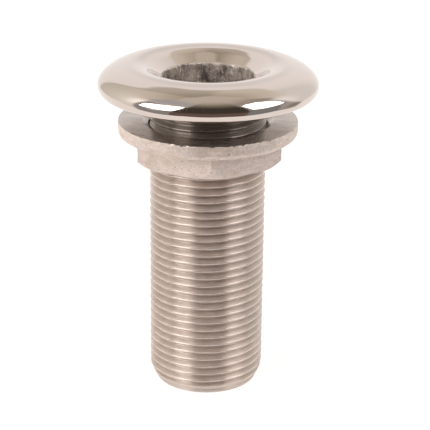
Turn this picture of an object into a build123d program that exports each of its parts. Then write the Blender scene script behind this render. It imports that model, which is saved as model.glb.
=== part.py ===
from build123d import *
import os
from math import ceil, cos, degrees, floor, pi, radians, sin, tan

# A mushroom-head thru hull fitting and its flanged nut, standing on the barrel's lower end.
# The frame: the axis is Z, z = 0 is the barrel's lower end, and the head is at the top.

# ---- the thread: ISO 228 G1, a parallel pipe thread of Whitworth form, right-handed
PITCH = 2.309
MAJOR_R = 33.249 / 2
MINOR_R = 30.291 / 2
FLANK = radians(27.5)
CREST_Z = 0.485                    # height of the crest's middle on the +X side, in the first turn
CREST_HALF = PITCH / 4 - (MAJOR_R - MINOR_R) / 2 * tan(FLANK)
THREAD_PLAY = 0.13                 # room between the nut's thread and the barrel's, square to the flank
ROOT_OVERLAP = 0.2                 # how far inside its core a ridge starts

# ---- the casting
BORE_R = 13.0
END_R = 14.83                      # the barrel's end face, inside the lead-in
LEAD_R = 16.1                      # where the lead-in's slope changes
LEAD_Z = 2.65
FULL_Z = 3.9                       # the thread has its full height from here up
NECK_H = 1.1                       # the plain neck between the thread and the head
HEAD_R = 31.2
HEAD_WIDEST_Z = 90.05
HEAD_UNDER_Z = 87.4
LIP_W = 1.8                        # the lower lip is a quarter ellipse, this wide
RELIEF_R = 17.4                    # the groove turned round the neck, in the head's underside
RELIEF_H = 0.4
CROWN_R = 21.65                    # the head's highest circle
CROWN_Z = 95.7
CROWN_POWER = 1.79                 # the superellipse from the crown out to the widest circle
FUNNEL_ROUND = 9.9                 # the arc from the crown down to the funnel's cone
FUNNEL_SLOPE = radians(32.4)
CONE_R = CROWN_R - FUNNEL_ROUND * sin(FUNNEL_SLOPE)
CONE_Z = CROWN_Z - FUNNEL_ROUND * (1 - cos(FUNNEL_SLOPE))
MOUTH_Z = CONE_Z - (CONE_R - BORE_R) * tan(FUNNEL_SLOPE)

# ---- the nut, as it is screwed on in the rest pose
NUT_BOTTOM_Z = 68.5
FLANGE_Z = 75.1                    # the flange's underside, on the hexagon
NUT_TOP_Z = 79.35
FLANGE_R = 25.63
FLANGE_ROUND = 1.6
HEX_APOTHEM = 20.1
HEX_CORNER_DEG = -87               # where one of its corners points
HEX_CAP_R = 21.1                   # the lower corners are turned down to this
HEX_CAP_H = 2.3
FLANGE_BORE_R = 17.05              # the flange slides over the thread
SINK_R = 18.6                      # the countersink in the flange's face
SINK_H = 1.2
MOUTH_CHAMFER = 1.0                # the thread's lower mouth in the hexagon
PIECE_GAP = 0.06                   # between the flange and the hexagon, so that one turns on the other


def turned(points):
    """A solid of revolution from its outline, as (radius, height) points."""
    outline = Plane.XZ * make_face(Polyline(*points, close=True))
    return revolve(outline, Axis.Z)


def screw(low, high, play):
    """A threaded rod from below low to above high, larger than the barrel's thread by play."""
    core_r = MINOR_R + play
    base_r = core_r - ROOT_OVERLAP
    tip_r = MAJOR_R + play
    base_half = CREST_HALF + play / cos(FLANK) + (MAJOR_R - base_r) * tan(FLANK)
    tip_half = CREST_HALF + play / cos(FLANK) + (MAJOR_R - tip_r) * tan(FLANK)
    section = Plane.XZ * make_face(Polyline(
        (base_r, -base_half), (tip_r, -tip_half), (tip_r, tip_half), (base_r, base_half), close=True))
    turn = sweep(section, path=Helix(pitch=PITCH, height=PITCH, radius=base_r), is_frenet=True)
    first = floor((low - CREST_Z) / PITCH) - 1
    last = ceil((high - CREST_Z) / PITCH)
    up = (Align.CENTER, Align.CENTER, Align.MIN)
    core = Pos(0, 0, CREST_Z + (first - 1) * PITCH) * Cylinder(core_r, (last - first + 3) * PITCH, align=up)
    return core.fuse(*[Pos(0, 0, CREST_Z + n * PITCH) * turn for n in range(first, last + 1)])


def barrel():
    """The threaded barrel with its lead-in, and the plain neck under the head."""
    thread_top = HEAD_UNDER_Z - NECK_H
    clear_r = MAJOR_R + 1
    outline = [(0, 0), (END_R, 0), (LEAD_R, LEAD_Z), (MAJOR_R, FULL_Z), (clear_r, FULL_Z),
               (clear_r, thread_top), (0, thread_top)]
    up = (Align.CENTER, Align.CENTER, Align.MIN)
    neck = Pos(0, 0, thread_top) * Cylinder(MINOR_R, NECK_H + 1, align=up)
    return (screw(0, thread_top, 0) & turned(outline)) + neck


def mushroom_head():
    """The polished head: an underside with a relief groove, a lip, a crown, and a funnel to the bore."""
    width = HEAD_R - CROWN_R
    rise = CROWN_Z - HEAD_WIDEST_Z
    steps = 14
    crown = []
    for i in range(steps + 1):
        turn = radians(90 * i / steps)
        crown.append((CROWN_R + width * max(cos(turn), 0) ** (2 / CROWN_POWER),
                      HEAD_WIDEST_Z + rise * (1 - max(cos(turn), 0) ** 2) ** (1 / CROWN_POWER)))
    with BuildPart() as head:
        with BuildSketch(Plane.XZ):
            with BuildLine():
                Polyline((BORE_R - 1, HEAD_UNDER_Z + RELIEF_H), (RELIEF_R, HEAD_UNDER_Z + RELIEF_H),
                         (RELIEF_R, HEAD_UNDER_Z), (HEAD_R - LIP_W, HEAD_UNDER_Z))
                EllipticalCenterArc((HEAD_R - LIP_W, HEAD_WIDEST_Z), LIP_W, HEAD_WIDEST_Z - HEAD_UNDER_Z,
                                    start_angle=270, arc_size=90)
                Spline(crown, tangents=[(0, 1), (-1, 0)])
                CenterArc((CROWN_R, CROWN_Z - FUNNEL_ROUND), FUNNEL_ROUND, start_angle=90,
                          arc_size=degrees(FUNNEL_SLOPE))
                Line((CONE_R, CONE_Z), (BORE_R, MOUTH_Z))
                Polyline((BORE_R, MOUTH_Z), (BORE_R - 1, MOUTH_Z), (BORE_R - 1, HEAD_UNDER_Z + RELIEF_H))
            make_face()
        revolve(axis=Axis.Z)
    return head.part


def thru_hull_casting():
    """The whole casting: head and barrel in one, with the water passage through both."""
    up = (Align.CENTER, Align.CENTER, Align.MIN)
    passage = Pos(0, 0, -1) * Cylinder(BORE_R, CROWN_Z + 2, align=up)
    return barrel() + mushroom_head() - passage


def nut_flange():
    """The nut's round clamping flange, with its countersunk face."""
    low = FLANGE_Z + PIECE_GAP / 2
    with BuildPart() as flange:
        with BuildSketch(Plane.XZ):
            with BuildLine():
                Line((FLANGE_BORE_R, low), (FLANGE_R - FLANGE_ROUND, low))
                TangentArc((FLANGE_R - FLANGE_ROUND, low), (FLANGE_R, low + FLANGE_ROUND), tangent=(1, 0))
                Polyline((FLANGE_R, low + FLANGE_ROUND), (FLANGE_R, NUT_TOP_Z), (SINK_R, NUT_TOP_Z),
                         (FLANGE_BORE_R, NUT_TOP_Z - SINK_H), (FLANGE_BORE_R, low))
            make_face()
        revolve(axis=Axis.Z)
    return flange.part


def nut_hexagon():
    """The nut's hexagon, with turned-down lower corners and the thread through it."""
    high = FLANGE_Z - PIECE_GAP / 2
    corner_r = HEX_APOTHEM / cos(pi / 6)
    blank = extrude(Plane.XY.offset(NUT_BOTTOM_Z) * Rot(0, 0, HEX_CORNER_DEG) * RegularPolygon(corner_r, 6),
                    high - NUT_BOTTOM_Z)
    cap = turned([(0, NUT_BOTTOM_Z), (HEX_CAP_R, NUT_BOTTOM_Z), (corner_r + 0.1, NUT_BOTTOM_Z + HEX_CAP_H),
                  (corner_r + 0.1, high + 1), (0, high + 1)])
    mouth_r = MAJOR_R + THREAD_PLAY
    mouth = turned([(0, NUT_BOTTOM_Z - 1), (mouth_r + 1, NUT_BOTTOM_Z - 1), (mouth_r, NUT_BOTTOM_Z),
                    (mouth_r - MOUTH_CHAMFER, NUT_BOTTOM_Z + MOUTH_CHAMFER), (0, NUT_BOTTOM_Z + MOUTH_CHAMFER)])
    tap = screw(NUT_BOTTOM_Z - 1, high + 1, THREAD_PLAY)
    return (blank & cap) - tap - mouth


os.makedirs("parts", exist_ok=True)
export_step(thru_hull_casting(), "parts/thru_hull_casting.step")
export_step(nut_flange(), "parts/nut_flange.step")
export_step(nut_hexagon(), "parts/nut_hexagon.step")
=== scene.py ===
"""A cast stainless thru hull fitting: a mirror-polished mushroom head on a threaded barrel, with its
flanged nut. Lengths are in millimetres until piece() makes a mesh, in metres, from them."""

from math import ceil, cos, floor, pi, radians, sin, tan

import bmesh
import bpy
import numpy as np
from mathutils import Euler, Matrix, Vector, noise


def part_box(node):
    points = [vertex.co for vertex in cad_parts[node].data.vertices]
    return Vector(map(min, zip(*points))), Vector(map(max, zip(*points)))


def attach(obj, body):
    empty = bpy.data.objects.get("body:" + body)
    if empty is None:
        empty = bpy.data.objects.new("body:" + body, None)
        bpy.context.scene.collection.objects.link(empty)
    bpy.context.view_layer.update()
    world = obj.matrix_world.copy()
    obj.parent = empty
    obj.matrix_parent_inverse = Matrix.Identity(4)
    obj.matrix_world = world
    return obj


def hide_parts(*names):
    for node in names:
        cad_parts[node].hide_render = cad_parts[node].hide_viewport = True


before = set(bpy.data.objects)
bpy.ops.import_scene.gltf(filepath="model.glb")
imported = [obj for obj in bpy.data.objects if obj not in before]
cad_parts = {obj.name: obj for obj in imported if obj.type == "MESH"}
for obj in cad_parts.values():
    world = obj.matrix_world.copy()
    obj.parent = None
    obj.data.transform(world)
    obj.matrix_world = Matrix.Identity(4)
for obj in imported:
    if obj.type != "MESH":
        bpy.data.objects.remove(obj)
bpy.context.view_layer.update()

MM = 0.001
casting_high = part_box("thru_hull_casting")[1] / MM
flange_low, flange_high = (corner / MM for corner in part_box("nut_flange"))
hex_low, hex_high = (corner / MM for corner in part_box("nut_hexagon"))

# ---- the G1 pipe thread: 55 degree Whitworth form, with rounded crests and roots
PITCH = 2.309
MAJOR_R = 33.249 / 2
MINOR_R = 30.291 / 2
FLANK = radians(27.5)
ROUND_R = 0.137329 * PITCH
CREST_Z = 0.485

# ---- the casting
END_R = 14.83
LEAD_R, LEAD_Z = 16.1, 2.65
FULL_Z = 3.9
UNDER_Z = 87.4
THREAD_TOP = UNDER_Z - 1.1
HEAD_R = casting_high.x
WIDEST_Z = 90.05
LIP_W = 1.8
RELIEF_R, RELIEF_H = 17.4, 0.4
CROWN_R = 21.65
CROWN_Z = casting_high.z
CROWN_POWER = 1.79
FUNNEL_ROUND = 9.9
FUNNEL_SLOPE = radians(32.4)
MOUTH_R = 13.0
CONE_R = CROWN_R - FUNNEL_ROUND * sin(FUNNEL_SLOPE)
CONE_Z = CROWN_Z - FUNNEL_ROUND * (1 - cos(FUNNEL_SLOPE))
MOUTH_Z = CONE_Z - (CONE_R - MOUTH_R) * tan(FUNNEL_SLOPE)

CREST_WEAR = 0.006                 # how far the thread's crests wander in and out

# ---- the nut
NUT_LOW = hex_low.z
NUT_HIGH = flange_high.z
FLANGE_Z = (flange_low.z + hex_high.z) / 2
FLANGE_R = flange_high.x
FLANGE_ROUND = 1.6
APOTHEM = 20.1
HEX_CORNER = radians(-87)
CORNER_ROUND = 0.3
CAP_R, CAP_H = 21.1, 2.3
SINK_R, SINK_H, SINK_FOOT_R = 18.6, 1.2, 17.05
NUT_PLAY = 0.09
THREAD_END_Z = NUT_HIGH - SINK_H - 1.6
MOUTH_LOW_R = MAJOR_R + 0.13       # the thread's lower mouth
TOP_EDGE = 0.18                    # the broken edge round the machined face
MOUTH_SLOPE = 1.2                  # the cone that ends its thread, as radius over height
CHIP_LEAST, CHIP_DEPTH = 0.08, 0.5


# ---------------------------------------------------------------- camera

LENS = 124.07
CAMERA_PLACE = (0.00227, -0.40244, 0.2041)
CAMERA_DOWN, CAMERA_ROLL = radians(20.94), radians(0.62)


def camera():
    """The photograph's view: 21 degrees above level, from 0.45 m."""
    data = bpy.data.cameras.new("camera")
    data.lens = LENS
    data.sensor_width = 36
    data.clip_start = 0.02
    seen = bpy.data.objects.new("camera", data)
    seen.location = CAMERA_PLACE
    seen.rotation_mode = "XYZ"
    tilt = Euler((pi / 2 - CAMERA_DOWN, 0, 0)).to_matrix()
    seen.rotation_euler = (tilt @ Euler((0, 0, CAMERA_ROLL)).to_matrix()).to_euler()
    bpy.context.scene.collection.objects.link(seen)
    bpy.context.scene.camera = seen


# ---------------------------------------------------------------- meshes

def around(columns, r, z):
    """The x, y, z of points at these radii and heights, in these directions round the axis."""
    return np.stack([r * np.cos(columns), r * np.sin(columns), z], -1).reshape(-1, 3)


class Skin:
    """A closed skin built as blocks of rows that run round the axis, each block in one material."""

    def __init__(self, columns):
        self.columns = np.asarray(columns)
        self.points = []
        self.faces = []
        self.kinds = []
        self.count = 0

    def block(self, z, r, kind, shift=0):
        """Rows of heights and radii, column by column. shift: how many rows up the seam joins."""
        rows, wide = z.shape
        self.points.append(around(self.columns, r, z))
        at = self.count + np.arange(rows * wide).reshape(rows, wide)
        self.count += rows * wide
        low, high = at[:-1], at[1:]
        quads = np.stack([low[:, :-1], low[:, 1:], high[:, 1:], high[:, :-1]], -1).reshape(-1, 4)
        seam = np.arange(rows - 1 - shift)
        joined = seam + shift
        close = np.stack([at[seam, -1], at[joined, 0], at[joined + 1, 0], at[seam + 1, -1]], -1)
        self.faces.append(np.concatenate([quads, close]))
        self.kinds.append(np.full(len(quads) + len(close), kind))

    def rings(self, outline, kind):
        """A block of level rings from (radius, height) points."""
        r, z = np.array(outline, float).T
        flat = np.ones(len(self.columns))
        self.block(np.outer(z, flat), np.outer(r, flat), kind)


def piece(name, skin, materials, sharp):
    """A mesh object from a skin, in metres, with coincident points joined."""
    points = np.concatenate(skin.points) * MM
    faces = np.concatenate(skin.faces)
    kinds = np.concatenate(skin.kinds)
    mesh = bpy.data.meshes.new(name)
    mesh.from_pydata(points.tolist(), [], faces.tolist())
    mesh.polygons.foreach_set("material_index", kinds.astype(np.int32))
    made = bmesh.new()
    made.from_mesh(mesh)
    bmesh.ops.remove_doubles(made, verts=made.verts, dist=2e-6)
    bmesh.ops.dissolve_degenerate(made, edges=made.edges, dist=1e-6)
    bmesh.ops.recalc_face_normals(made, faces=made.faces)
    made.to_mesh(mesh)
    made.free()
    for material in materials:
        mesh.materials.append(material)
    mesh.shade_smooth()
    mesh.set_sharp_from_angle(angle=sharp)
    built = bpy.data.objects.new(name, mesh)
    bpy.context.scene.collection.objects.link(built)
    return built


def arc(centre, radii, start, end, steps):
    """Points on an ellipse's arc, as (radius, height), with angles in degrees."""
    turns = np.radians(np.linspace(start, end, steps + 1))
    return [(centre[0] + radii[0] * cos(t), centre[1] + radii[1] * sin(t)) for t in turns]


def along(low, high, step):
    """Evenly spaced values from low to high, both included, at most step apart."""
    return np.linspace(low, high, max(2, ceil(abs(high - low) / step) + 1))


def fractal(points, size, octaves=3, shift=0.0):
    """Smooth noise of about -1 to 1 at these points, with bumps of this size."""
    offset = Vector((shift, -shift, 0.5 * shift))
    return np.array([noise.fractal(Vector(p) / size + offset, 1.0, 2.0, octaves) for p in points])


# ---------------------------------------------------------------- threads

def thread_profile(play):
    """One pitch of the thread, crest to root, as (height, radius) points, moved out by play."""
    crest_round, root_round = ROUND_R + play, ROUND_R - play
    reach = pi / 2 - FLANK
    swing = np.linspace(-reach, reach, 5)
    crest = [(crest_round * sin(a), MAJOR_R - ROUND_R + crest_round * cos(a)) for a in swing]
    root = [(PITCH / 2 + root_round * sin(a), MINOR_R + ROUND_R - root_round * cos(a)) for a in swing]
    down = [tuple(np.mean([crest[-1], root[0]], axis=0))]
    up = [((root[-1][0] + crest[0][0] + PITCH) / 2, (root[-1][1] + crest[0][1]) / 2)]
    return np.array(crest + down + root + up)


def thread_rows(columns, play, low, high):
    """The heights and radii of a thread from below low to above high, and its rows in each turn."""
    profile = thread_profile(play)
    first = floor((low - CREST_Z - PITCH * columns[-1] / (2 * pi)) / PITCH) - 1
    last = ceil((high - CREST_Z - PITCH * columns[0] / (2 * pi)) / PITCH) + 1
    turns = np.arange(first, last + 1)
    start = CREST_Z + PITCH * np.repeat(turns, len(profile)) + np.tile(profile[:, 0], len(turns))
    z = start[:, None] + PITCH * columns[None, :] / (2 * pi)
    r = np.repeat(np.tile(profile[:, 1], len(turns))[:, None], len(columns), axis=1)
    return z, r, len(profile)


def neighbour(rows, way):
    """Each row's neighbour, below it for way 1 and above it for way -1. An end row is its own."""
    moved = np.roll(rows, way, axis=0)
    end = 0 if way == 1 else -1
    moved[end] = rows[end]
    return moved


def cut_by(z, r, limit, side):
    """Cuts thread rows at a surface of revolution. side 1 keeps what is inside it, and -1 outside."""
    over = side * (r - limit(z))
    out = over > 0
    new_z, new_r = z.copy(), np.where(out, limit(z), r)
    for way in (1, -1):
        next_z, next_r, next_over = (neighbour(rows, way) for rows in (z, r, over))
        edge = out & (next_over <= 0)
        share = np.where(edge, over / np.where(edge, over - next_over, 1), 0)
        new_z = np.where(edge, z + share * (next_z - z), new_z)
        new_r = np.where(edge, r + share * (next_r - r), new_r)
    return new_z, new_r


def end_at(z, r, height, radius, way):
    """Ends thread rows at a height. way 1 ends them upwards, and -1 downwards, on one circle."""
    past = way * (z - height) > 0
    near_z, near_r = neighbour(z, way), neighbour(r, way)
    edge = past & (way * (near_z - height) <= 0)
    share = np.where(edge, (height - near_z) / np.where(edge, z - near_z, 1), 0)
    new_r = np.where(past, radius, r)
    return np.where(past, height, z), np.where(edge, near_r + share * (r - near_r), new_r)


# ---------------------------------------------------------------- the casting

POLISHED, TURNED, ROUGH = 0, 1, 2


def lead_in(z):
    """The largest radius that the barrel's lead-in leaves at a height."""
    return np.interp(z, [0, LEAD_Z, FULL_Z, FULL_Z + 0.1], [END_R, LEAD_R, MAJOR_R, MAJOR_R + 1])


def crown_outline():
    """The head from its widest circle up to its crown."""
    turns = np.radians(90 - 90 * np.linspace(1, 0, 25) ** 1.15)
    share = np.maximum(np.cos(turns), 0)
    rise = np.maximum(np.sin(turns), 0)
    r = CROWN_R + (HEAD_R - CROWN_R) * share ** (2 / CROWN_POWER)
    z = WIDEST_Z + (CROWN_Z - WIDEST_Z) * rise ** (2 / CROWN_POWER)
    return list(zip(r, z))


def funnel_outline():
    """The head from its crown down its inner slope to the passage."""
    curve = arc((CROWN_R, CROWN_Z - FUNNEL_ROUND), (FUNNEL_ROUND, FUNNEL_ROUND),
                90, 90 + np.degrees(FUNNEL_SLOPE), 14)
    cone = [(r, CONE_Z - (CONE_R - r) * tan(FUNNEL_SLOPE)) for r in along(CONE_R, MOUTH_R + 0.25, 0.5)]
    return curve + cone[1:]


def casting():
    columns = 2 * pi * np.arange(168) / 168
    skin = Skin(columns)
    z, r, turn_rows = thread_rows(columns, 0, 0, THREAD_TOP)
    wear = fractal(around(columns, r, z), 1.6, 2, 7.0)
    r = r + CREST_WEAR * wear.reshape(r.shape) * (r > MAJOR_R - 0.2)
    z, r = cut_by(z, r, lead_in, 1)
    z, r = end_at(z, r, 0, END_R, -1)
    z, r = end_at(z, r, THREAD_TOP, MINOR_R, 1)
    skin.block(z, r, TURNED, turn_rows)
    fillet = 0.4
    relief = UNDER_Z + RELIEF_H
    corner = arc((MINOR_R + fillet, relief - fillet), (fillet, fillet), 180, 90, 3)
    under = [(x, UNDER_Z) for x in (RELIEF_R, 20, 23, 26, HEAD_R - LIP_W)]
    skin.rings([(MINOR_R, THREAD_TOP)] + corner + [(RELIEF_R, relief)] + under, TURNED)
    lip = arc((HEAD_R - LIP_W, WIDEST_Z), (LIP_W, WIDEST_Z - UNDER_Z), 270, 360, 10)
    skin.rings(lip + crown_outline()[1:] + funnel_outline()[1:], POLISHED)
    passage(skin)
    skin.rings([(MOUTH_R + 0.4, 0), (END_R, 0)], TURNED)
    steels = [polished_steel(), turned_steel(), rough_cast_steel()]
    skin_joined = piece("thru_hull_casting_skin", skin, steels, radians(42))
    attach(skin_joined, "fitting")
    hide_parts("thru_hull_casting")


def passage(skin):
    """The rough-cast water passage, from its ragged upper rim down to the barrel's end."""
    columns = skin.columns
    rim, foot = 0.25, 0.4
    heights = np.concatenate([[MOUTH_Z + rim * tan(FUNNEL_SLOPE), MOUTH_Z - 0.1],
                              along(MOUTH_Z - 0.6, 66, 0.75), along(64, 2, 2.2), [foot, 0.0]])
    radii = np.full(len(heights), MOUTH_R)
    radii[0] += rim
    radii[-1] += foot
    z = np.repeat(heights[:, None], len(columns), axis=1)
    r = np.repeat(radii[:, None], len(columns), axis=1)
    places = around(columns, r, z)
    lumps = fractal(places, 4.0, 2, 3.0) * 0.12 + fractal(places, 1.3, 2, 9.0) * 0.05
    held = np.ones(len(heights))
    held[0] = held[-1] = 0
    held[1] = 0.6
    skin.block(z, r + lumps.reshape(r.shape) * held[:, None], ROUGH)


# ---------------------------------------------------------------- the nut

CAST, MACHINED = 0, 1


def hex_radius(angle):
    """The hexagon's outer radius in a direction, with its cast corners a little rounded."""
    turn = np.abs((angle - HEX_CORNER + pi / 6) % (pi / 3) - pi / 6)
    centre = (APOTHEM - CORNER_ROUND) / cos(pi / 6)
    last = np.arctan2(CORNER_ROUND * 0.5, centre + CORNER_ROUND * cos(pi / 6))
    half_chord = np.sqrt(np.maximum(CORNER_ROUND ** 2 - (centre * np.sin(turn)) ** 2, 0))
    rounded = centre * np.cos(turn) + half_chord
    return np.where(turn < last, rounded, APOTHEM / np.cos(pi / 6 - turn))


def nut_columns():
    """Directions round the nut, closer together at the hexagon's corners."""
    corner = np.array([0, 0.18, 0.36, 0.7, 1.2, 2.0])
    side = np.concatenate([corner, along(2.9, 57.1, 0.9), 60 - corner[:0:-1]])
    return HEX_CORNER + np.radians(np.concatenate([side + 60 * k for k in range(6)]))


def mouths(z):
    """The radius that the nut's thread is cut back to at a height, at its two ends."""
    return np.maximum(SINK_FOOT_R + (z - THREAD_END_Z) * MOUTH_SLOPE, MOUTH_LOW_R - (z - NUT_LOW))


def nut():
    columns = nut_columns()
    skin = Skin(columns)
    inner_r = MAJOR_R + NUT_PLAY
    top = THREAD_END_Z - (SINK_FOOT_R - inner_r) / MOUTH_SLOPE
    z, r, turn_rows = thread_rows(columns, NUT_PLAY, NUT_LOW, top)
    z, r = cut_by(z, r, mouths, -1)
    z, r = end_at(z, r, NUT_LOW, MOUTH_LOW_R, -1)
    z, r = end_at(z, r, top, inner_r, 1)
    skin.block(z, r, MACHINED, turn_rows)
    bore = [(SINK_FOOT_R, height) for height in along(THREAD_END_Z, NUT_HIGH - SINK_H, 0.4)]
    skin.rings([(inner_r, top)] + bore + [(SINK_R, NUT_HIGH)], MACHINED)
    face = (*along(SINK_R, FLANGE_R - 1.2, 0.8), FLANGE_R - TOP_EDGE)
    skin.rings([(x, NUT_HIGH) for x in face], MACHINED)
    cast_sides(skin)
    made = piece("flanged_nut", skin, [cast_steel(), machined_steel()], radians(34))
    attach(made, "nut")
    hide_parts("nut_flange", "nut_hexagon")


def cast_sides(skin):
    """The nut's cast outside: its lower face, the hexagon, and the flange's underside and rim."""
    columns = skin.columns
    level = np.ones(len(columns))
    hexagon = hex_radius(columns)
    slope = CAP_H / (APOTHEM / cos(pi / 6) + 0.1 - CAP_R)
    foot = np.minimum(hexagon, CAP_R)
    foot_z = NUT_LOW + 0.1
    cap_z = foot_z + np.maximum(hexagon - CAP_R, 0) * slope
    rows = []
    for share in np.linspace(0, 1, 7):
        rows.append((NUT_LOW * level, MOUTH_LOW_R + (foot - 0.12 - MOUTH_LOW_R) * share))
    for share in np.linspace(0, 1, 6):
        rows.append((foot_z + (cap_z - foot_z) * share, foot + (hexagon - foot) * share))
    fillet = 0.7
    for share in np.linspace(0, 1, 15)[1:]:
        rows.append((cap_z + (FLANGE_Z - fillet - cap_z) * share, hexagon))
    for turn in np.radians([30, 60, 90]):
        rows.append(((FLANGE_Z - fillet * (1 - sin(turn))) * level, hexagon + fillet * (1 - cos(turn))))
    rim_foot = FLANGE_R - FLANGE_ROUND
    out = np.minimum(hexagon + fillet, rim_foot - 0.05)
    for share in np.linspace(0, 1, 6)[1:]:
        rows.append((FLANGE_Z * level, out + (rim_foot - out) * share))
    centre = (rim_foot, FLANGE_Z + FLANGE_ROUND)
    for radius, height in arc(centre, (FLANGE_ROUND, FLANGE_ROUND), -90, 0, 6)[1:]:
        rows.append((height * level, radius * level))
    for height in along(FLANGE_Z + FLANGE_ROUND, NUT_HIGH - 0.5, 0.35)[1:]:
        rows.append((height * level, FLANGE_R * level))
    chips = fractal(around(columns, FLANGE_R, 0 * level), 1.1, 3, 2.0)
    chips = CHIP_LEAST + CHIP_DEPTH * np.maximum(chips, 0)
    rows.append((NUT_HIGH - chips, FLANGE_R - 0.35 * chips))
    rows.append((NUT_HIGH * level, (FLANGE_R - TOP_EDGE) * level))
    z = np.array([row[0] for row in rows])
    r = np.array([row[1] for row in rows])
    places = around(columns, r, z)
    grain = 0.035 * fractal(places, 0.9, 2, 1.0) + 0.05 * fractal(places, 5.0, 2, 5.0) - 0.05
    sunk = (grain - pits(places) - nicks(places)).reshape(r.shape)
    sunk[[0, -1]] = 0
    r = r + sunk
    skin.block(z[:-1], r[:-1], CAST)
    skin.block(z[-2:], r[-2:], MACHINED)


def pits(places):
    """How deep the casting's pits are at these points."""
    dice = np.random.default_rng(11)
    depth = np.zeros(len(places))
    for _ in range(46):
        angle = dice.uniform(0, 2 * pi)
        height = dice.uniform(NUT_LOW + 1, NUT_HIGH - 0.5)
        radius = FLANGE_R if height > FLANGE_Z else float(hex_radius(np.array(angle)))
        centre = np.array([radius * cos(angle), radius * sin(angle), height])
        size = dice.uniform(0.25, 0.6)
        away = np.linalg.norm(places - centre, axis=1) / size
        depth += dice.uniform(0.06, 0.2) * np.exp(-away ** 2)
    return depth


def nicks(places):
    """How deep the nicks along the flange's upper edge are at these points."""
    dice = np.random.default_rng(5)
    depth = np.zeros(len(places))
    for _ in range(150):
        angle = dice.uniform(0, 2 * pi)
        centre = np.array([FLANGE_R * cos(angle), FLANGE_R * sin(angle), NUT_HIGH])
        away = (places - centre) / np.array([0.45, 0.45, 0.3]) / dice.uniform(0.6, 1.5)
        depth += dice.uniform(0.04, 0.24) * np.exp(-(away ** 2).sum(1))
    return np.minimum(depth, 0.4)


# ---------------------------------------------------------------- materials

class Look:
    """A material, with short calls for the nodes that these ones use."""

    def __init__(self, name, colour, metallic=1.0, roughness=0.3):
        self.material = bpy.data.materials.new(name)
        self.material.use_nodes = True
        self.nodes = self.material.node_tree.nodes
        self.links = self.material.node_tree.links
        self.shader = self.nodes["Principled BSDF"]
        self.shader.inputs["Base Color"].default_value = (*colour, 1)
        self.shader.inputs["Metallic"].default_value = metallic
        self.shader.inputs["Roughness"].default_value = roughness
        self.place = self.nodes.new("ShaderNodeTexCoord").outputs["Object"]

    def put(self, socket, value):
        if isinstance(value, bpy.types.NodeSocket):
            self.links.new(value, socket)
        else:
            socket.default_value = value

    def scaled(self, x, y, z):
        """The object's coordinates, multiplied on each axis."""
        node = self.nodes.new("ShaderNodeMapping")
        node.inputs["Scale"].default_value = (x, y, z)
        self.links.new(self.place, node.inputs["Vector"])
        return node.outputs["Vector"]

    def from_axis(self):
        """The distance from the object's Z axis."""
        node = self.nodes.new("ShaderNodeVectorMath")
        node.operation = "LENGTH"
        self.links.new(self.scaled(1, 1, 0), node.inputs[0])
        return node.outputs["Value"]

    def noise(self, size, detail=3.0, where=None, rough=0.55):
        """Noise with bumps of this size in metres, from 0 to 1."""
        node = self.nodes.new("ShaderNodeTexNoise")
        node.inputs["Scale"].default_value = 1 / size
        node.inputs["Detail"].default_value = detail
        node.inputs["Roughness"].default_value = rough
        self.links.new(where or self.place, node.inputs["Vector"])
        return node.outputs["Fac"]

    def cells(self, size, where=None):
        """The distance to the nearest of many scattered points, these metres apart."""
        node = self.nodes.new("ShaderNodeTexVoronoi")
        node.inputs["Scale"].default_value = 1 / size
        self.links.new(where or self.place, node.inputs["Vector"])
        return node.outputs["Distance"]

    def spread(self, value, low, high, to_low, to_high):
        """value from low to high, mapped to to_low to to_high, with no overshoot."""
        node = self.nodes.new("ShaderNodeMapRange")
        self.put(node.inputs["Value"], value)
        limits = {"From Min": low, "From Max": high, "To Min": to_low, "To Max": to_high}
        for name, number in limits.items():
            node.inputs[name].default_value = number
        return node.outputs["Result"]

    def maths(self, operation, a, b=0.0):
        node = self.nodes.new("ShaderNodeMath")
        node.operation = operation
        self.put(node.inputs[0], a)
        self.put(node.inputs[1], b)
        return node.outputs[0]

    def blend(self, a, b, share):
        """A value between a and b, nearer b as share rises to 1."""
        return self.maths("ADD", self.maths("MULTIPLY", a, 1 - share), self.maths("MULTIPLY", b, share))

    def mix(self, share, under, over_it):
        """A colour between two colours, each fixed or from a node."""
        node = self.nodes.new("ShaderNodeMix")
        node.data_type = "RGBA"
        self.put(node.inputs["Factor"], share)
        for socket, colour in ((node.inputs[6], under), (node.inputs[7], over_it)):
            self.put(socket, (*colour, 1) if isinstance(colour, tuple) else colour)
        return node.outputs[2]

    def bump(self, height, depth, under=None):
        """A bump this many metres deep, on top of another if given."""
        node = self.nodes.new("ShaderNodeBump")
        node.inputs["Strength"].default_value = 1.0
        node.inputs["Distance"].default_value = depth
        self.links.new(height, node.inputs["Height"])
        if under:
            self.links.new(under, node.inputs["Normal"])
        return node.outputs["Normal"]

    def use(self, **sockets):
        for name, value in sockets.items():
            self.put(self.shader.inputs[name.replace("_", " ").title()], value)
        return self.material


def polished_steel():
    """The hand-polished head: a mirror, a little wavy, with faint haze and hairline scratches."""
    look = Look("polished_steel", (0.67, 0.585, 0.535))
    waves = look.bump(look.noise(0.011, 1.0), 0.00006)
    hair = look.noise(0.0004, 2.0, look.scaled(1, 6, 2))
    lines = look.bump(hair, 0.0000012, waves)
    haze = look.noise(0.006, 3.0)
    rough = look.spread(haze, 0.35, 0.75, 0.045, 0.10)
    return look.use(roughness=rough, normal=lines)


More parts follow.
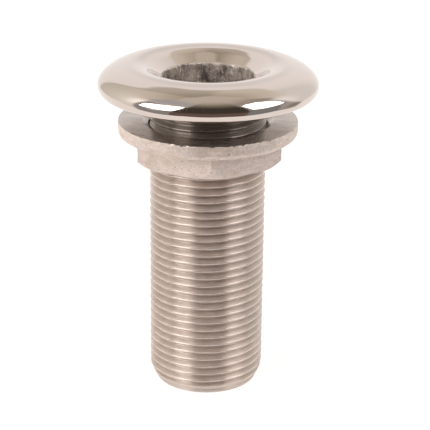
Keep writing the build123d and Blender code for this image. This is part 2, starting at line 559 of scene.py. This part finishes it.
def turned_steel():
    """The machined barrel: the tool's marks run round it, so it blurs what it reflects up and down.
    The thread's crests are rubbed bright, its roots are painted darker as painted shade, and the neck
    next to the head is painted darker as painted shadow of the head."""
    look = Look("turned_steel", (0.64, 0.55, 0.50))
    round_it = look.nodes.new("ShaderNodeTangent")
    round_it.direction_type = "RADIAL"
    round_it.axis = "Z"
    marks = look.noise(0.001, 3.0, look.scaled(0.5, 0.5, 10))
    patches = look.noise(0.003, 3.0)
    split = look.nodes.new("ShaderNodeSeparateXYZ")
    look.links.new(look.place, split.inputs["Vector"])
    neck_shadow = look.spread(split.outputs["Z"], 0.076, 0.080, 0.0, 1.0)
    normal = look.bump(marks, 0.000008, look.bump(patches, 0.00002))
    worn = look.spread(patches, 0.3, 0.7, 0.34, 0.40)
    wide = look.from_axis()
    crest = look.spread(wide, 0.01645, 0.01660, 0.0, 1.0)
    rough = look.maths("SUBTRACT", worn, look.maths("MULTIPLY", crest, 0.17))
    metal = look.spread(neck_shadow, 0.0, 1.0, 0.62, 0.80)
    dull = look.mix(look.spread(patches, 0.35, 0.75, 0, 1), (0.64, 0.54, 0.48), (0.76, 0.65, 0.585))
    # The thread's roots are mixed towards dark brown: painted shade in the grooves.
    root = look.spread(wide, 0.01535, 0.0161, 0.24, 0.0)
    root_shaded = look.mix(root, dull, (0.38, 0.30, 0.25))
    # The neck under the head is mixed towards dark brown: painted shadow of the head's overhang.
    colour = look.mix(neck_shadow, root_shaded, (0.36, 0.31, 0.275))
    return look.use(base_color=colour, metallic=metal, roughness=rough, normal=normal,
                    tangent=round_it.outputs["Tangent"], anisotropic=1.0, anisotropic_rotation=0.25)


def machined_steel():
    """The nut's faced and countersunk top, with rings left by the tool."""
    look = Look("machined_steel", (0.55, 0.48, 0.435), metallic=0.85)
    ring_gap = 0.00022
    rings = look.maths("SINE", look.maths("MULTIPLY", look.from_axis(), 2 * pi / ring_gap))
    uneven = look.noise(0.0045, 4.0)
    normal = look.bump(rings, 0.0000012, look.bump(uneven, 0.00007))
    rough = look.spread(uneven, 0.3, 0.7, 0.14, 0.26)
    return look.use(roughness=rough, normal=normal)


def cast_steel():
    """The nut's blasted casting skin: mottled, with scattered pits painted dark as painted shade, and a
    few warm stains.
    """
    look = Look("cast_steel", (0.70, 0.61, 0.55), metallic=0.62)
    grain = look.noise(0.0006, 4.0, look.scaled(1, 1, 2.0), 0.7)
    lumps = look.noise(0.0022, 4.0, look.scaled(1, 1, 2.2), 0.6)
    pores = look.cells(0.0024)
    holes = look.spread(pores, 0.0, 0.16, -1.0, 0.0)
    normal = look.bump(holes, 0.00012, look.bump(grain, 0.00011, look.bump(lumps, 0.0002)))
    rough = look.spread(lumps, 0.3, 0.7, 0.54, 0.7)
    mottle = look.blend(lumps, grain, 0.6)
    plain = look.mix(look.spread(mottle, 0.36, 0.64, 0, 1), (0.63, 0.535, 0.485), (0.98, 0.855, 0.785))
    stain = look.spread(look.noise(0.006, 4.0, look.scaled(1, 1, 1.8)), 0.5, 0.7, 0.0, 0.55)
    stained = look.mix(stain, plain, (0.62, 0.49, 0.38))
    # The pores are mixed towards near-black: painted shade in the pits.
    colour = look.mix(look.spread(pores, 0.05, 0.12, 0.6, 0.0), stained, (0.2, 0.15, 0.13))
    return look.use(base_color=colour, roughness=rough, normal=normal)


def rough_cast_steel():
    """The passage's wall as it left the mould: dull, streaky and flecked."""
    look = Look("rough_cast_steel", (0.6, 0.52, 0.47), metallic=0.6)
    grain = look.noise(0.0007, 4.0, look.scaled(1, 1, 0.6))
    streaks = look.noise(0.0022, 4.0, look.scaled(1, 1, 0.6), 0.65)
    normal = look.bump(grain, 0.0003, look.bump(streaks, 0.0005))
    patches = look.noise(0.0065, 3.0)
    shade = look.blend(streaks, patches, 0.5)
    dull = look.mix(look.spread(shade, 0.40, 0.62, 0, 1), (0.17, 0.14, 0.125), (0.80, 0.70, 0.63))
    colour = look.mix(look.spread(grain, 0.52, 0.70, 0.0, 0.8), dull, (1.0, 0.92, 0.86))
    rough = look.spread(grain, 0.3, 0.7, 0.55, 0.35)
    return look.use(base_color=colour, roughness=rough, normal=normal)


# ---------------------------------------------------------------- the studio

ROOM_R = 3.0
BACKDROP = np.array([1.05, 1.03, 1.02])
RIGHT_WALL = np.array([0.90, 0.90, 0.885])
CEILING = np.array([0.68, 0.63, 0.55])
STRIPE = np.array([0.53, 0.49, 0.41])
OVER_RIGHT = np.array([0.40, 0.37, 0.34])
OVER_LEFT = np.array([0.52, 0.51, 0.51])
FLOOR = np.array([0.17, 0.12, 0.105])
LEFT_STAND = np.array([0.33, 0.33, 0.33])
PALE_STAND = np.array([0.85, 0.88, 0.92])
RIGHT_STAND = np.array([0.27, 0.28, 0.29])
FAR_STAND = np.array([0.47, 0.45, 0.43])
DARK_STAND = np.array([0.27, 0.25, 0.24])
LEFT_LAMP = np.array([4.2, 4.1, 4.0])
RIGHT_LAMP = np.array([3.2, 3.15, 3.1])
FRAME = np.array([0.16, 0.155, 0.15])
FRAME_WIDE = 1.2                   # in degrees
GLOW = np.array([0.5, 0.52, 0.54])
TABLE_GREY = (0.3, 0.3, 0.3, 1)
TABLE_GLOW, TABLE_GLOW_STRENGTH = (1.0, 0.98, 0.97, 1), 0.82


def step(value, edge, soft):
    """0 below an edge and 1 above it, rising over twice soft."""
    t = np.clip((value - edge + soft) / (2 * soft), 0, 1)
    return t * t * (3 - 2 * t)


def window(value, low, high, soft):
    """1 between two edges and 0 outside them."""
    return step(value, low, soft) * (1 - step(value, high, soft))


def over(under, colour, share):
    return under + (np.asarray(colour) - under) * share[..., None]


def by(value, at, shades):
    """Colours read off a scale of values."""
    return np.stack([np.interp(value, at, [shade[k] for shade in shades]) for k in range(3)], -1)


def room_light(azimuth, height):
    """The light from each direction, in degrees. Azimuth 0 is the camera's side, and 90 its right."""
    light = np.ones((*azimuth.shape, 3)) * BACKDROP
    light = over(light, RIGHT_WALL, window(azimuth, 78, 146, 9))
    light = over(light, 0.86 * BACKDROP, window(azimuth % 360, 171, 189, 6) * window(height, 18, 40, 6))
    wall = by(azimuth, [-142, -110, -95], [(0.70, 0.67, 0.60), (0.90, 0.87, 0.79), (0.95, 0.92, 0.86)])
    light = over(light, wall, window(azimuth, -143, 0, 1.5))
    for across, up, strength in ((-84, 32, 1.0), (97, 34, 0.5)):
        glow = strength * np.exp(-((azimuth - across) / 12) ** 2 - ((height - up) / 22) ** 2)
        light = light + glow[..., None] * GLOW
    light = ceiling(light, azimuth, height)
    above = step(height, 50, 4)
    over_left = by(height, [54, 66, 72, 78, 84],
                   [(0.53, 0.53, 0.54), OVER_LEFT, (0.58, 0.57, 0.54), (0.66, 0.62, 0.56), CEILING])
    light = over(light, over_left, window(azimuth, -90, -20, 7) * above)
    over_right = by(height, [60, 66, 72, 78, 84],
                    [OVER_RIGHT, (0.46, 0.42, 0.37), (0.57, 0.51, 0.45), (0.65, 0.59, 0.52), CEILING])
    light = over(light, over_right, window(azimuth, 30, 104, 8) * above)
    return low_room(light, azimuth, height)


def ceiling(light, azimuth, height):
    """The ceiling: lighter overhead, with a darker stripe round that, from the left to the right."""
    edge = np.interp(azimuth, [-180, -173, -169, -160, -150, -147, -143, -140, -130,
                               130, 140, 147, 155, 165, 173, 180],
                     [52, 51, 46, 46.5, 49, 48, 46, 42, 46, 48, 50, 50.5, 49, 48, 50, 52])
    tone = by(height, [46, 54, 60, 66, 72, 77],
              [(0.81, 0.77, 0.67), (0.79, 0.74, 0.65), (0.74, 0.69, 0.60),
               (0.65, 0.60, 0.51), (0.58, 0.53, 0.44), STRIPE])
    tone = tone * (1 - 0.22 * window(azimuth % 360, 176, 221, 6))[..., None]
    light = over(light, tone, step(height, edge, np.where(np.abs(azimuth) > 135, 2.0, 9)))
    overhead = np.interp(azimuth, [-180, -158, -135, -118, -90, -50, 50, 89, 101, 136, 180],
                         [73.5, 77, 77, 76, 73, 71, 70, 66, 69, 73, 73.5])
    return over(light, CEILING, step(height, overhead, 1.2))


def low_room(light, azimuth, height):
    """What is in front: the dim room, and the stands and cloths below and beside the panels."""
    soft = np.interp(height, [25, 50], [1.2, 4.0])
    front = window(azimuth, -28 + 0.2 * (height - 40), 42, soft)
    dusk = by(height, [-8, 0, 43, 48, 54, 60, 66, 72, 78, 85],
              [FLOOR, (0.07, 0.058, 0.05), (0.064, 0.054, 0.045), (0.10, 0.09, 0.07),
               (0.16, 0.14, 0.11), (0.24, 0.22, 0.18), (0.36, 0.32, 0.26), (0.48, 0.44, 0.36),
               (0.60, 0.55, 0.47), CEILING])
    below = 1 - step(height, 48, 4)
    light = over(light, RIGHT_STAND, window(azimuth, 34, 92, 7) * below)
    light = over(light, LEFT_STAND, window(azimuth, -80, -20, 3) * below)
    slope = np.interp(height, [-38, -10, 20], [120, 107, 88])
    light = over(light, FAR_STAND, window(azimuth, 78, slope, 2.5) * (1 - step(height, 18, 5)))
    blob = np.exp(-((azimuth - 96) / 9) ** 2 - ((height + 14) / 8) ** 2)
    light = over(light, DARK_STAND, np.minimum(1.2 * blob, 1))
    pale = window(azimuth - 0.7 * (height + 3), -60, -50, 2) * window(height, -9, 6, 2)
    light = over(light, PALE_STAND, pale)
    return light + (dusk - light) * (front * step(height, -60, 10))[..., None]


def towards(azimuth, height, distance):
    """Places at a distance from the head's crown, in these directions, in degrees."""
    turn, rise = np.radians(azimuth), np.radians(height)
    way = np.stack([np.sin(turn) * np.cos(rise), -np.cos(turn) * np.cos(rise), np.sin(rise)], -1)
    return distance * way.reshape(-1, 3) + [0, 0, CROWN_Z * MM]


def glowing(name, colour):
    """A material that only gives light, with its shader, to feed or to leave plain."""
    material = bpy.data.materials.new(name)
    material.use_nodes = True
    nodes, links = material.node_tree.nodes, material.node_tree.links
    nodes.remove(nodes["Principled BSDF"])
    glow = nodes.new("ShaderNodeEmission")
    glow.inputs["Color"].default_value = (*colour, 1)
    links.new(glow.outputs["Emission"], nodes["Material Output"].inputs["Surface"])
    material.cycles.emission_sampling = "NONE"
    return material, glow


def hang(name, points, faces, material):
    """A stage piece that the camera doesn't see and that shows in reflections."""
    mesh = bpy.data.meshes.new(name)
    mesh.from_pydata(points.tolist(), [], faces.tolist())
    mesh.materials.append(material)
    mesh.shade_smooth()
    hung = bpy.data.objects.new(name, mesh)
    hung.visible_camera = False
    bpy.context.scene.collection.objects.link(hung)
    return mesh


def grid_faces(rows, wide, closed):
    """Quads of a grid of points. closed: the last column joins the first."""
    at = np.arange(rows * wide).reshape(rows, wide)
    beside = np.roll(at, -1, axis=1)
    last = wide if closed else wide - 1
    return np.stack([at[:-1], at[1:], beside[1:], beside[:-1]], -1)[:, :last].reshape(-1, 4)


def softbox(name, outline, colour):
    """A lit panel in a dark frame, from (azimuth, lower edge, upper edge) across it."""
    across, low, high = np.array(outline, float).T
    parts = (("panel", 0.0, ROOM_R - 0.2, colour), ("frame", FRAME_WIDE, ROOM_R - 0.1, FRAME))
    for part, more, distance, shade in parts:
        azimuth = np.linspace(across[0] - more, across[-1] + more, 48)
        lows = np.interp(azimuth, across, low) - more
        highs = np.interp(azimuth, across, high) + more
        height = lows + (highs - lows) * np.linspace(0, 1, 9)[:, None]
        places = towards(azimuth + 0 * height, height, distance)
        hang(name + "_" + part, places, grid_faces(9, 48, False), glowing(name + "_" + part, shade)[0])


def softboxes():
    """The two panels that show as white bands along the head's front."""
    left = [(-73, 10, 34), (-65, 7, 40), (-50, 5, 45.5), (-38, 6, 47), (-34, 18, 47.5), (-29.5, 38, 48)]
    right = [(44.5, 44, 50), (47, 18, 52), (56, 16, 56.5), (75, 18, 56.5), (83, 20, 50), (88, 23, 42)]
    softbox("left_softbox", left, LEFT_LAMP)
    softbox("right_softbox", right, RIGHT_LAMP)


def dome():
    """A light tent all round, seen only in reflections and as light."""
    rows, wide = 181, 360
    height = np.linspace(-90, 90, rows)[:, None] * np.ones(wide)
    azimuth = np.linspace(-180, 180, wide, endpoint=False)[None, :] * np.ones((rows, 1))
    material, glow = glowing("light_tent", BACKDROP)
    source = material.node_tree.nodes.new("ShaderNodeVertexColor")
    source.layer_name = "light"
    material.node_tree.links.new(source.outputs["Color"], glow.inputs["Color"])
    mesh = hang("light_tent", towards(azimuth, height, ROOM_R), grid_faces(rows, wide, True), material)
    shades = room_light(azimuth, height).reshape(-1, 3)
    paint = mesh.color_attributes.new("light", "FLOAT_COLOR", "POINT")
    shades = np.column_stack([shades, np.ones(len(shades))])
    paint.data.foreach_set("color", shades.astype(np.float32).ravel())


def table():
    """A plain pale table top that stays white under the fitting. The room shows past its front edge."""
    outline = [(-0.06, -0.135), (0.05, -0.135), (0.172, -0.063), (0.172, 0.03), (0.5, 0.2), (0.5, 2.6),
               (-0.6, 2.6), (-0.6, 0.1), (-0.25, -0.015), (-0.118, -0.082)]
    mesh = bpy.data.meshes.new("table")
    mesh.from_pydata([(x, y, 0) for x, y in outline], [], [range(len(outline))])
    material = bpy.data.materials.new("table")
    material.use_nodes = True
    shader = material.node_tree.nodes["Principled BSDF"]
    shader.inputs["Base Color"].default_value = TABLE_GREY
    shader.inputs["Roughness"].default_value = 0.9
    shader.inputs["Specular IOR Level"].default_value = 0.0
    shader.inputs["Emission Color"].default_value = TABLE_GLOW
    shader.inputs["Emission Strength"].default_value = TABLE_GLOW_STRENGTH
    mesh.materials.append(material)
    top = bpy.data.objects.new("table", mesh)
    bpy.context.scene.collection.objects.link(top)


def studio():
    world = bpy.data.worlds.new("studio")
    world.use_nodes = True
    world.node_tree.nodes["Background"].inputs["Color"].default_value = (1, 1, 1, 1)
    bpy.context.scene.world = world
    bpy.context.scene.view_settings.view_transform = "Standard"
    dome()
    softboxes()
    table()


camera()
casting()
nut()
studio()
